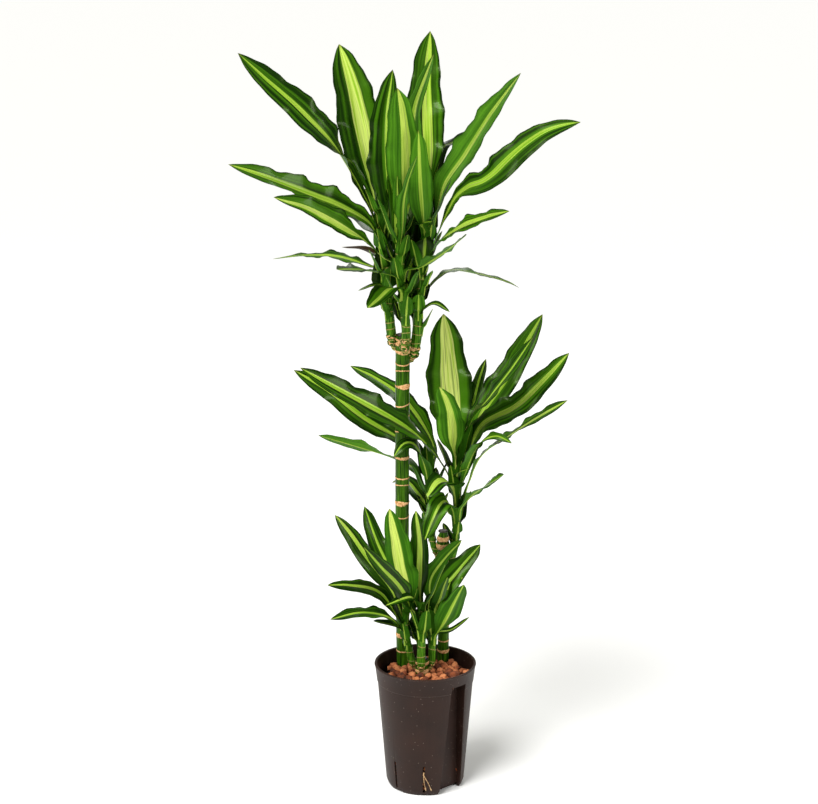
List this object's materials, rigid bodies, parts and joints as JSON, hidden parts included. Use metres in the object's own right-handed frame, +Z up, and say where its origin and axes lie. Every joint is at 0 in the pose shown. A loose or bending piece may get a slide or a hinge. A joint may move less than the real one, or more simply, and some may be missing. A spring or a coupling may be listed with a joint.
{
  "type": "potted corn plant",
  "caption": "Striped-leaf dracaena in a plastic culture pot: rooted canes of stepped heights with leafy shoots, standing in clay pebbles, with a water gauge recess in the pot wall.",
  "frame": {"origin": "middle of the pot's underside, on the surface it stands on", "axes": "+Z up along the canes; +X to the plant's right as seen from its front; -Y towards the front, with the gauge recess at the front right"},
  "size_m": [0.478, 0.32, 1.102],
  "materials": {
    "pot_plastic": "moulded, satin, fine grain",
    "expanded_clay": "fired, rough, porous",
    "root": "dry, fibrous",
    "cane_bark": "smooth waxy green with corky tan rings",
    "wax_seal": "dipped dark wax",
    "shoot_stem": "satin green with paler streaks",
    "leaf_blade": "waxy gloss, lime stripes along the middle"
  },
  "bodies": {
    "root": {"culture_pot": "pot_plastic", "clay_pebbles": "expanded_clay", "hanging_root": "root", "cane_middle": "cane_bark", "cane_short": "cane_bark", "cane_tall": "cane_bark", "wax_cap_middle": "wax_seal", "wax_cap_short": "wax_seal", "wax_cap_tall": "wax_seal", "shoot_middle_left": "shoot_stem", "shoot_middle_right": "shoot_stem", "shoot_short_centre": "shoot_stem", "shoot_short_left": "shoot_stem", "shoot_short_right": "shoot_stem", "shoot_tall_centre": "shoot_stem", "shoot_tall_left": "shoot_stem", "shoot_tall_right": "shoot_stem", "leaf_middle_left_1": "leaf_blade", "leaf_middle_left_2": "leaf_blade", "leaf_middle_left_3": "leaf_blade", "leaf_middle_left_4": "leaf_blade", "leaf_middle_right_1": "leaf_blade", "leaf_middle_right_10": "leaf_blade", "leaf_middle_right_11": "leaf_blade", "leaf_middle_right_2": "leaf_blade", "leaf_middle_right_3": "leaf_blade", "leaf_middle_right_4": "leaf_blade", "leaf_middle_right_5": "leaf_blade", "leaf_middle_right_6": "leaf_blade", "leaf_middle_right_7": "leaf_blade", "leaf_middle_right_8": "leaf_blade", "leaf_middle_right_9": "leaf_blade", "leaf_short_centre_1": "leaf_blade", "leaf_short_centre_2": "leaf_blade", "leaf_short_centre_3": "leaf_blade", "leaf_short_left_1": "leaf_blade", "leaf_short_left_2": "leaf_blade", "leaf_short_left_3": "leaf_blade", "leaf_short_left_4": "leaf_blade", "leaf_short_right_1": "leaf_blade", "leaf_short_right_2": "leaf_blade", "leaf_short_right_3": "leaf_blade", "leaf_tall_centre_1": "leaf_blade", "leaf_tall_centre_2": "leaf_blade", "leaf_tall_centre_3": "leaf_blade", "leaf_tall_centre_4": "leaf_blade", "leaf_tall_centre_5": "leaf_blade", "leaf_tall_centre_6": "leaf_blade", "leaf_tall_centre_7": "leaf_blade", "leaf_tall_left_1": "leaf_blade", "leaf_tall_left_2": "leaf_blade", "leaf_tall_left_3": "leaf_blade", "leaf_tall_left_4": "leaf_blade", "leaf_tall_right_1": "leaf_blade", "leaf_tall_right_2": "leaf_blade", "leaf_tall_right_3": "leaf_blade", "leaf_tall_right_4": "leaf_blade", "leaf_tall_right_5": "leaf_blade", "leaf_tall_right_6": "leaf_blade", "leaf_tall_right_7": "leaf_blade"}
  },
  "joints": []
}
